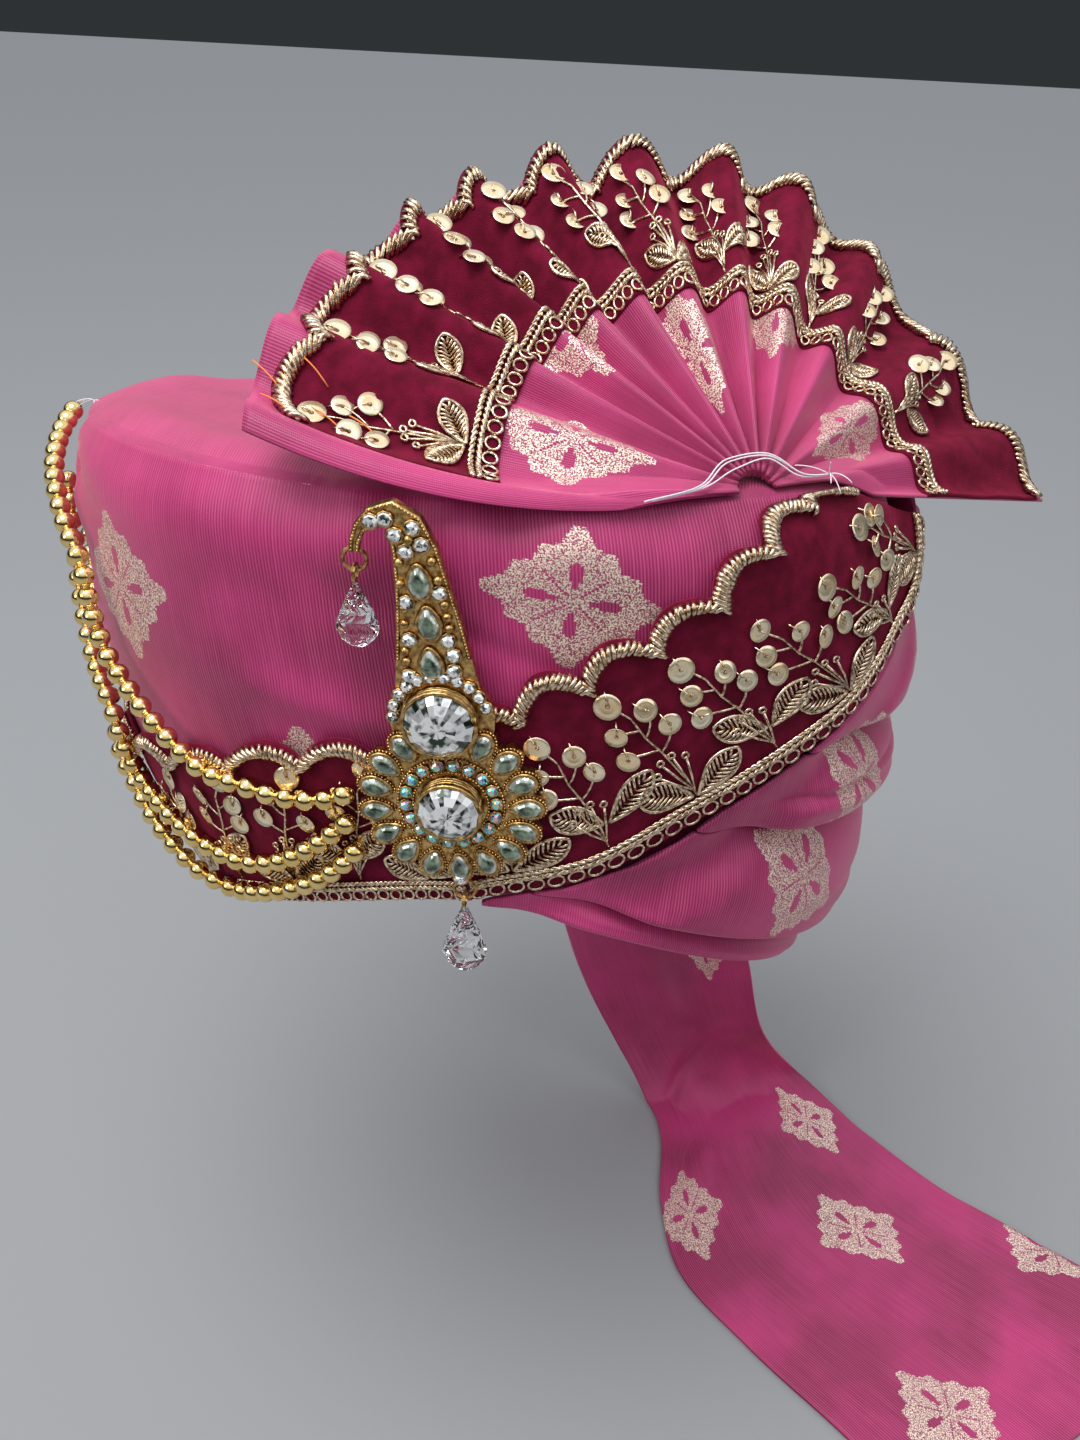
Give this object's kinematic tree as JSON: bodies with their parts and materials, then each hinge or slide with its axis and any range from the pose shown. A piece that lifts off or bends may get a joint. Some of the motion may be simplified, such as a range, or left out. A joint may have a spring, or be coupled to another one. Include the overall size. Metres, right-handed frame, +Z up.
{
  "type": "tied turban pagri",
  "caption": "Ready-tied dress turban: a hollow padded body with wound folds, velvet trim, bead strings, a stone brooch with crystal drops, a pleated fan on top and a hanging cloth tail.",
  "frame": {"origin": "centre of the head opening, at the height of the front of the rim", "axes": "+Z up with the turban tipped back as the picture shows it, -Y out of the wearer's face, +X to the wearer's left"},
  "size_m": [0.4564, 0.2725, 0.463],
  "materials": {
    "magenta_brocade": "satin",
    "wine_velvet": "matte",
    "antique_gold": "satin",
    "clear_crystal": "polished",
    "gold_bead": "polished"
  },
  "bodies": {
    "turban": {"bead_string_lower": "gold_bead", "bead_string_middle": "gold_bead", "bead_string_upper": "gold_bead", "brooch_setting": "antique_gold", "fan_cloth": "magenta_brocade", "fan_velvet": "wine_velvet", "flower_stone": "clear_crystal", "high_wrap": "magenta_brocade", "low_wrap": "magenta_brocade", "middle_wrap": "magenta_brocade", "petal_stone_01": "clear_crystal", "petal_stone_02": "clear_crystal", "petal_stone_03": "clear_crystal", "petal_stone_04": "clear_crystal", "petal_stone_05": "clear_crystal", "petal_stone_06": "clear_crystal", "petal_stone_07": "clear_crystal", "petal_stone_08": "clear_crystal", "petal_stone_09": "clear_crystal", "petal_stone_10": "clear_crystal", "petal_stone_11": "clear_crystal", "petal_stone_12": "clear_crystal", "petal_stone_13": "clear_crystal", "petal_stone_14": "clear_crystal", "petal_stone_15": "clear_crystal", "plume_stone_low": "clear_crystal", "plume_stone_mid": "clear_crystal", "plume_stone_top": "clear_crystal", "rim_fold": "magenta_brocade", "tail_cloth": "magenta_brocade", "top_wrap": "magenta_brocade", "turban_body": "magenta_brocade", "upper_stone": "clear_crystal", "velvet_band_left": "wine_velvet", "velvet_band_right": "wine_velvet"},
    "lower_drop": {"lower_drop_loop": "antique_gold", "lower_drop_crystal": "clear_crystal"},
    "upper_drop": {"upper_drop_loop": "antique_gold", "upper_drop_crystal": "clear_crystal"}
  },
  "joints": [
    {"name": "lower_drop_swing", "type": "hinge", "parent": "turban", "child": "lower_drop", "pos_m": [-0.00062, -0.11002, 0.0375], "axis": [0, -1, 0], "range_deg": [-30, 26]},
    {"name": "upper_drop_swing", "type": "hinge", "parent": "turban", "child": "upper_drop", "pos_m": [-0.02863, -0.10741, 0.13732], "axis": [0, -1, 0], "range_deg": [-30, 12]}
  ]
}
